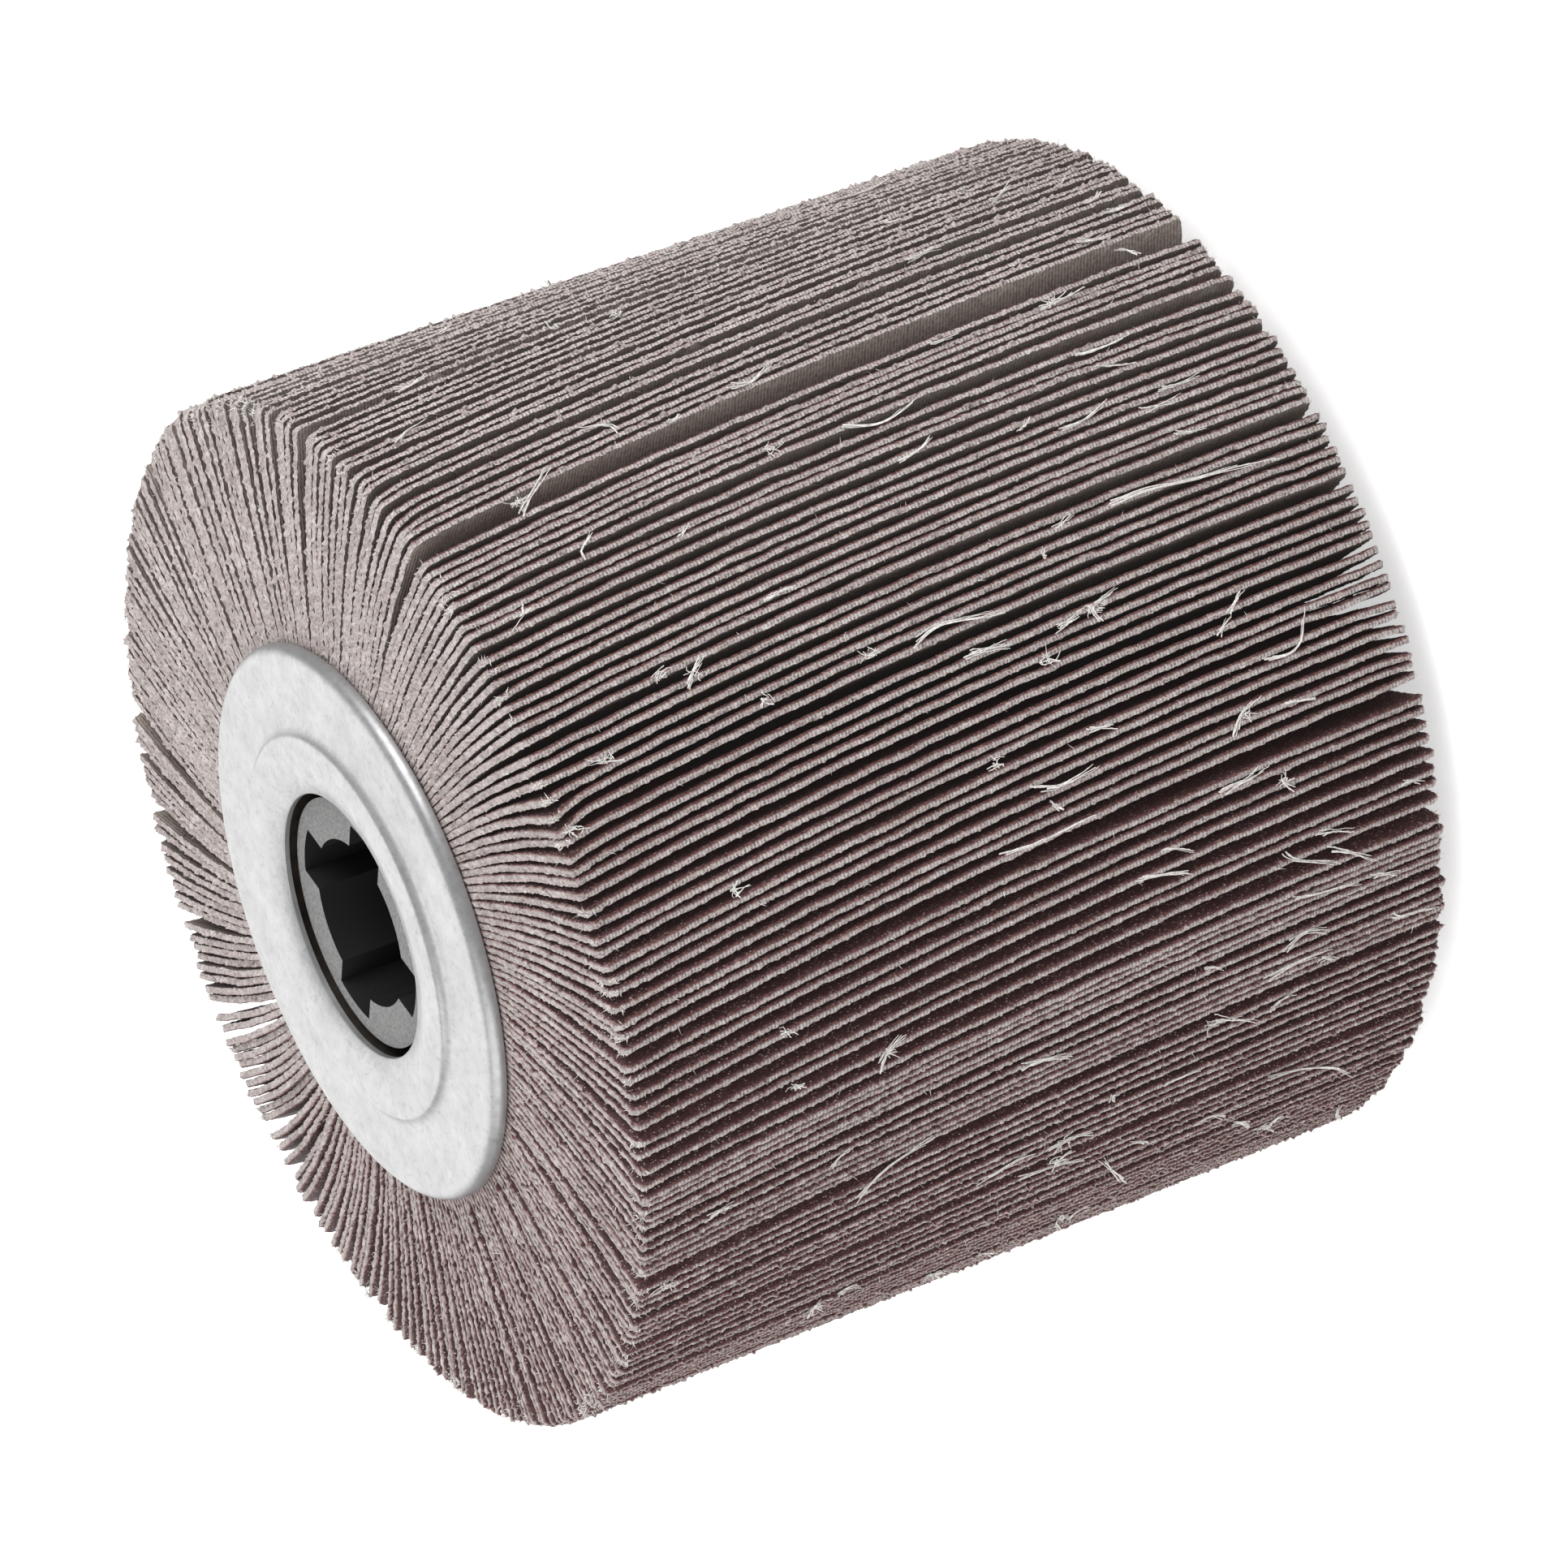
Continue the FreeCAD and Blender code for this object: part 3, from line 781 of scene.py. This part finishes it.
def flange_section():
    """Section of the upper flange, from the hole outwards over the top and back underneath."""
    rest_start = hole_radius + dish_width
    middle_radius = rest_start + rest_ring_width
    middle_height = ring_height + middle_rise
    hole_edge = middle_height - dish_depth
    bend_centre = (flange_radius - rim_bend_radius, ring_height - rim_bend_radius)
    sheet = flange_sheet
    inner_bend = rim_bend_radius - sheet
    shoulder = 0.8 * MM
    hollow = (middle_rise - shoulder * (1 - math.sqrt(0.5))) / (1 - math.sqrt(0.5))
    foot = middle_radius + (shoulder + hollow) * math.sqrt(0.5)
    outside = [(hole_radius, hole_edge - 0.15 * MM), (hole_radius + 0.15 * MM, hole_edge)]
    outside += [(rest_start - 0.8 * MM, middle_height - 0.12 * MM), (rest_start, middle_height)]
    outside += arc((middle_radius, middle_height - shoulder), shoulder, 90, 45, 6)
    outside += arc((foot, ring_height + hollow), hollow, 225, 270, 8)[1:]
    outside += arc(bend_centre, rim_bend_radius, 90, 0, 12)
    outside += [(flange_radius, rim_clearance + 0.1 * MM), (flange_radius - 0.1 * MM, rim_clearance)]
    underside = [(flange_radius - sheet, rim_clearance)]
    underside += arc(bend_centre, inner_bend, 0, 90, 5)
    underside += [(foot, ring_height - sheet), (middle_radius, middle_height - sheet)]
    underside += [(rest_start, middle_height - sheet), (hole_radius, hole_edge - sheet)]
    return (outside + underside)[::-1]


def flanges(material):
    section = np.array(flange_section())
    for node, height, sign in (("upper_flange", flap_top, 1), ("lower_flange", flap_bottom, -1)):
        placed = np.stack([section[:, 0], height + sign * section[:, 1]], 1)
        piece = turned_piece(node + "_sheet", placed if sign > 0 else placed[::-1], 224, material)
        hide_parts(node)


def tube(path, radii, sides=4):
    """Closed thin tube along a path of points."""
    tangents = np.gradient(path, axis=0)
    tangents /= np.linalg.norm(tangents, axis=1, keepdims=True)
    across = np.cross(tangents, (0.31, 0.17, 0.93))
    across /= np.linalg.norm(across, axis=1, keepdims=True)
    other = np.cross(tangents, across)
    turns = np.arange(sides) * 2 * math.pi / sides
    ring = across[:, None] * np.cos(turns)[None, :, None] + other[:, None] * np.sin(turns)[None, :, None]
    points = (path[:, None] + ring * radii[:, None, None]).reshape(-1, 3)
    number = np.arange(len(points)).reshape(-1, sides)
    after = np.roll(number, -1, 1)
    faces = [quads(number[:-1].ravel(), after[:-1].ravel(), after[1:].ravel(), number[1:].ravel())]
    for end, order in ((0, (0, 2, 1)), (-1, (0, 1, 2))):
        fan = [(number[end, 0], number[end, k], number[end, k + 1]) for k in range(1, sides - 1)]
        faces.append(np.array(fan)[:, order])
    return points, np.concatenate(faces)


def thread_path(marks, start, steps):
    """Angles in radians and heights along a thread that lies over the tips."""
    along, around = np.array(marks, float).T
    reach = np.concatenate([[0], np.cumsum(np.hypot(np.diff(along), np.diff(around) * mark_shape))])
    even = np.linspace(0, reach[-1], steps)
    heights = flap_top - taper - np.interp(even, reach, along) * 0.1 * MM
    angles = np.radians(start + np.interp(even, reach, around) / 16)
    for values in (heights, angles):
        for _ in range(3):
            values[1:-1] = (values[:-2] + 2 * values[1:-1] + values[2:]) / 4
    return angles, heights


def strands(marks, start, draw, count, steps=14):
    """Strands of one thread, that spread a little towards its ends."""
    angles, heights = thread_path(marks, start, steps)
    share = np.linspace(-1, 1, steps)
    for _ in range(count):
        spread = draw.normal(0, 0.16 * MM, 2)[:, None] * (0.4 + np.abs(share))
        spread = spread + draw.normal(0, 0.03 * MM, (2, steps))
        lift = draw.uniform(0.12, 0.3) * MM + np.abs(share) ** 2 * draw.uniform(0, 0.8) * MM
        kept = np.abs(share - draw.uniform(-0.2, 0.2)) < draw.uniform(0.7, 1.2)
        path = to_world(wheel_radius + lift, angles + spread[0] / wheel_radius, heights + spread[1])[kept]
        thickness = draw.uniform(0.05, 0.10) * MM * np.linspace(1, 0.5, len(path))
        yield tube(path, thickness)


def tuft(place_in_marks, start, draw, count=9):
    """A clump of short curly fibres on the tips."""
    for _ in range(count):
        way = draw.normal(0, 1, 2)
        first, last = (np.array(place_in_marks) + way * step + draw.normal(0, 3, 2) for step in (-5, 9))
        bent = (first + last) / 2 + draw.normal(0, 5, 2)
        yield from strands((first, bent, last), start, draw, 1, 6)


def with_start(low, high):
    """Marks of both groups, each with the angle that its marks start from."""
    return [(marks, thread_start_low) for marks in low] + [(marks, thread_start_high) for marks in high]


def loose_threads(material):
    """Threads that have come loose and lie on the wheel. Those on its far side are strewn at random."""
    draw = rng(7)
    tubes = []
    for marks, start in with_start(threads_low, threads_high):
        tubes += strands(marks, start, draw, draw.randint(4, 7))
    for mark, start in with_start(tufts_low, tufts_high):
        tubes += tuft(mark, start, draw)
    for _ in range(strewn_threads):
        middle = np.array((draw.uniform(40, 960), draw.uniform(0, 2700)))
        way = draw.normal(0, 1, 2) * (22, 16)
        bent = middle + draw.normal(0, 8, 2)
        tubes += strands((middle - way, bent, middle + way), strewn_start, draw, draw.randint(1, 4), 8)
    points, faces, total = [], [], 0
    for some_points, some_faces in tubes:
        points.append(some_points)
        faces.append(some_faces + total)
        total += len(some_points)
    faces = np.concatenate(faces)
    piece = make_piece("loose_threads", np.concatenate(points), faces, np.zeros(len(faces)), [material], 60)


def give_material(node, material):
    """Material of a CAD node that is shown as it is."""
    mesh = frame["nodes"][node].data
    mesh.materials.clear()
    mesh.materials.append(material)


def floor():
    """Plain white floor. What the camera sees of it is lifted a little, and the shadow stays."""
    half = 3.0
    mesh = bpy.data.meshes.new("floor")
    corners = [(-half, -half, 0), (half, -half, 0), (half, half, 0), (-half, half, 0)]
    mesh.from_pydata(corners, [], [(0, 1, 2, 3)])
    plane = bpy.data.objects.new("floor", mesh)
    bpy.context.scene.collection.objects.link(plane)
    material, tree, shader = new_material("floor_white", roughness=1.0, specular=0.0)
    shader.inputs["Base Color"].default_value = (floor_grey, floor_grey, floor_grey, 1)
    shader.inputs["Emission Color"].default_value = (1, 1, 1, 1)
    seen = add_node(tree, "ShaderNodeLightPath")
    lift = math_node(tree, "MULTIPLY", seen.outputs["Is Camera Ray"], floor_lift)
    tree.links.new(lift, shader.inputs["Emission Strength"])
    mesh.materials.append(material)


def world():
    """Even white studio light. What the camera sees of it is white."""
    scene_world = bpy.data.worlds.new("studio")
    bpy.context.scene.world = scene_world
    scene_world.use_nodes = True
    tree = scene_world.node_tree
    background = tree.nodes["Background"]
    background.inputs["Color"].default_value = (1, 1, 1, 1)
    seen = add_node(tree, "ShaderNodeLightPath")
    dimmed = math_node(tree, "MULTIPLY", seen.outputs["Is Glossy Ray"], glossy_ambient - ambient)
    seen_white = math_node(tree, "MULTIPLY", seen.outputs["Is Camera Ray"], 1 - ambient)
    strength = math_node(tree, "ADD", math_node(tree, "ADD", dimmed, seen_white), ambient)
    tree.links.new(strength, background.inputs["Strength"])


def area_light(name, direction, distance, size, power):
    """Soft square lamp that faces the middle of the wheel."""
    data = bpy.data.lights.new(name, "AREA")
    data.energy = power
    data.size = size
    lamp = bpy.data.objects.new(name, data)
    towards = Vector(direction).normalized()
    lamp.location = Vector((0, 0, wheel_height / 2)) + towards * distance
    lamp.rotation_mode = "QUATERNION"
    lamp.rotation_quaternion = towards.to_track_quat("Z", "Y")
    bpy.context.scene.collection.objects.link(lamp)


def view_axes():
    """Right, up and back directions of the camera."""
    azimuth, elevation, roll = (math.radians(a) for a in (view_azimuth, view_elevation, view_roll))
    back = Vector((math.cos(azimuth) * math.cos(elevation), math.sin(azimuth) * math.cos(elevation),
                   math.sin(elevation)))
    level = (-back).cross(Vector((0, 0, 1))).normalized()
    upright = level.cross(-back)
    right = math.cos(roll) * level + math.sin(roll) * upright
    up = -math.sin(roll) * level + math.cos(roll) * upright
    return right, up, back


def camera():
    """Camera at the photograph's angle. It is rolled, as the wheel there lies on its side."""
    data = bpy.data.cameras.new("photo_camera")
    data.lens = lens
    data.sensor_width = 36.0
    data.clip_start, data.clip_end = 0.05, 20
    right, up, back = view_axes()
    place_at = Vector((0, 0, wheel_height / 2)) + view_distance * back
    place_at += view_offset[0] * right + view_offset[1] * up
    seen_from = bpy.data.objects.new("photo_camera", data)
    turn = Matrix((right, up, back)).transposed().to_4x4()
    seen_from.matrix_world = Matrix.Translation(place_at) @ turn
    bpy.context.scene.collection.objects.link(seen_from)
    bpy.context.scene.camera = seen_from


def lamps():
    """A key lamp beside the camera, a wide one behind the wheel and a weak one from below."""
    right, up, back = view_axes()
    area_light("key", 0.6 * up + 0.6 * back - 0.4 * right, 0.7, 0.4, 2.6)
    area_light("behind", (-0.68, 0.55, 0.55), 1.1, 1.5, 6.0)
    area_light("below", 0.35 * back - 0.9 * up + Vector((0, 0, 0.25)), 0.8, 0.7, 2.6)


def main():
    camera()
    cloth = [cloth_back_material(), grain_material(), cut_edge_material(), thread_material()]
    faces, kinds = flap_faces()
    for number, (node, flaps) in enumerate(all_flaps().items(), start=1):
        flap_packet(node, number, flaps, faces, kinds, cloth)
    flanges(flange_material())
    give_material("drive_hub", hub_material())
    give_material("resin_core", resin_material())
    loose_threads(cloth[3])
    floor()
    world()
    lamps()
    bpy.context.scene.view_settings.view_transform = "Standard"


main()
